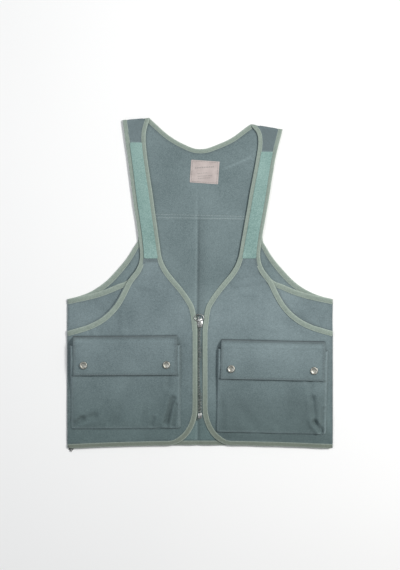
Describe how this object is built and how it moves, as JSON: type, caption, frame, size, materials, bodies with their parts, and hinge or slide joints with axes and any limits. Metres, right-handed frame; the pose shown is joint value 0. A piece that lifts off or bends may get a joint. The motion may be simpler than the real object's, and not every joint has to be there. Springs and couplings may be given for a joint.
{
  "type": "fishing vest",
  "caption": "Sleeveless zip-front fishing vest with pile strips on the straps, bound edges, curved hand pockets and two bellows pockets with snap flaps, laid flat.",
  "frame": {"origin": "middle of the laid-out vest's bounding box in X and Y, on the surface it lies on", "axes": "+Z out of the front and up, +Y from the hem to the shoulders, +X to the wearer's left"},
  "size_m": [0.516, 0.64, 0.025],
  "materials": {
    "canvas": "matt teal-grey cotton twill",
    "binding": "matt sage woven tape",
    "strip": "pale teal brushed pile tape",
    "zip_tape": "woven zip tape",
    "label": "pale woven satin",
    "nickel": "worn nickel plate"
  },
  "bodies": {
    "back": {"back_panel": "canvas", "back_yoke": "canvas", "back_seam_fell": "canvas", "neck_binding": "binding", "back_hem_binding": "binding", "label": "label", "back_armhole_binding_left": "binding", "back_armhole_binding_right": "binding", "side_seam_left": "canvas", "side_seam_right": "canvas", "shoulder_seam_left": "canvas", "shoulder_seam_right": "canvas"},
    "front_left": {"front_facing_left": "canvas", "front_shell_left": "canvas", "strap_left": "canvas", "strap_strip_left": "strip", "front_edge_binding_left": "binding", "armhole_binding_left": "binding", "hand_pocket_binding_left": "binding", "pocket_gusset_left": "canvas", "pocket_front_left": "canvas", "flap_stand_left": "canvas", "zip_tape_left": "zip_tape", "zip_chain_left": "nickel", "zip_top_stop_left": "nickel", "snap_stud_left_1": "nickel", "snap_stud_left_2": "nickel", "snap_post_left_1": "nickel", "snap_post_left_2": "nickel", "zip_pin": "nickel"},
    "front_right": {"front_facing_right": "canvas", "front_shell_right": "canvas", "strap_right": "canvas", "strap_strip_right": "strip", "front_edge_binding_right": "binding", "armhole_binding_right": "binding", "hand_pocket_binding_right": "binding", "pocket_gusset_right": "canvas", "pocket_front_right": "canvas", "flap_stand_right": "canvas", "zip_tape_right": "zip_tape", "zip_chain_right": "nickel", "zip_top_stop_right": "nickel", "snap_stud_right_1": "nickel", "snap_stud_right_2": "nickel", "snap_post_right_1": "nickel", "snap_post_right_2": "nickel", "zip_box": "nickel"},
    "flap_left": {"pocket_flap_left": "canvas", "snap_cap_left_1": "nickel", "snap_cap_left_2": "nickel", "snap_socket_left_1": "nickel", "snap_socket_left_2": "nickel"},
    "flap_right": {"pocket_flap_right": "canvas", "snap_cap_right_1": "nickel", "snap_cap_right_2": "nickel", "snap_socket_right_1": "nickel", "snap_socket_right_2": "nickel"},
    "slider": {"zip_slider": "nickel"},
    "pull": {"zip_pull_ring": "nickel"}
  },
  "joints": [
    {"name": "front_left_open", "type": "hinge", "parent": "back", "child": "front_left", "pos_m": [0.2565, 0, 0.0076], "axis": [0, 1, 0], "range_deg": [0, 50], "deforming": ["strap_left", "strap_strip_left", "front_edge_binding_left", "armhole_binding_left", "zip_chain_left", "zip_tape_left"]},
    {"name": "front_right_open", "type": "hinge", "parent": "back", "child": "front_right", "pos_m": [-0.2565, 0, 0.0076], "axis": [0, -1, 0], "range_deg": [0, 50], "deforming": ["strap_right", "strap_strip_right", "front_edge_binding_right", "armhole_binding_right", "zip_chain_right", "zip_tape_right"]},
    {"name": "flap_left_open", "type": "hinge", "parent": "front_left", "child": "flap_left", "pos_m": [0.141, -0.125, 0.0226], "axis": [-0.9997, 0.0227, 0], "range_deg": [0, 170]},
    {"name": "flap_right_open", "type": "hinge", "parent": "front_right", "child": "flap_right", "pos_m": [-0.145, -0.116, 0.0226], "axis": [-1, -0.0052, 0], "range_deg": [0, 170]},
    {"name": "zip_slide", "type": "slide", "parent": "front_right", "child": "slider", "axis": [0, -1, 0], "range_m": [0, 0.165], "deforming": ["zip_chain_left", "zip_chain_right"]},
    {"name": "pull_swing", "type": "hinge", "parent": "slider", "child": "pull", "pos_m": [0, -0.0733, 0.009], "axis": [1, 0, 0], "range_deg": [0, 170]}
  ]
}
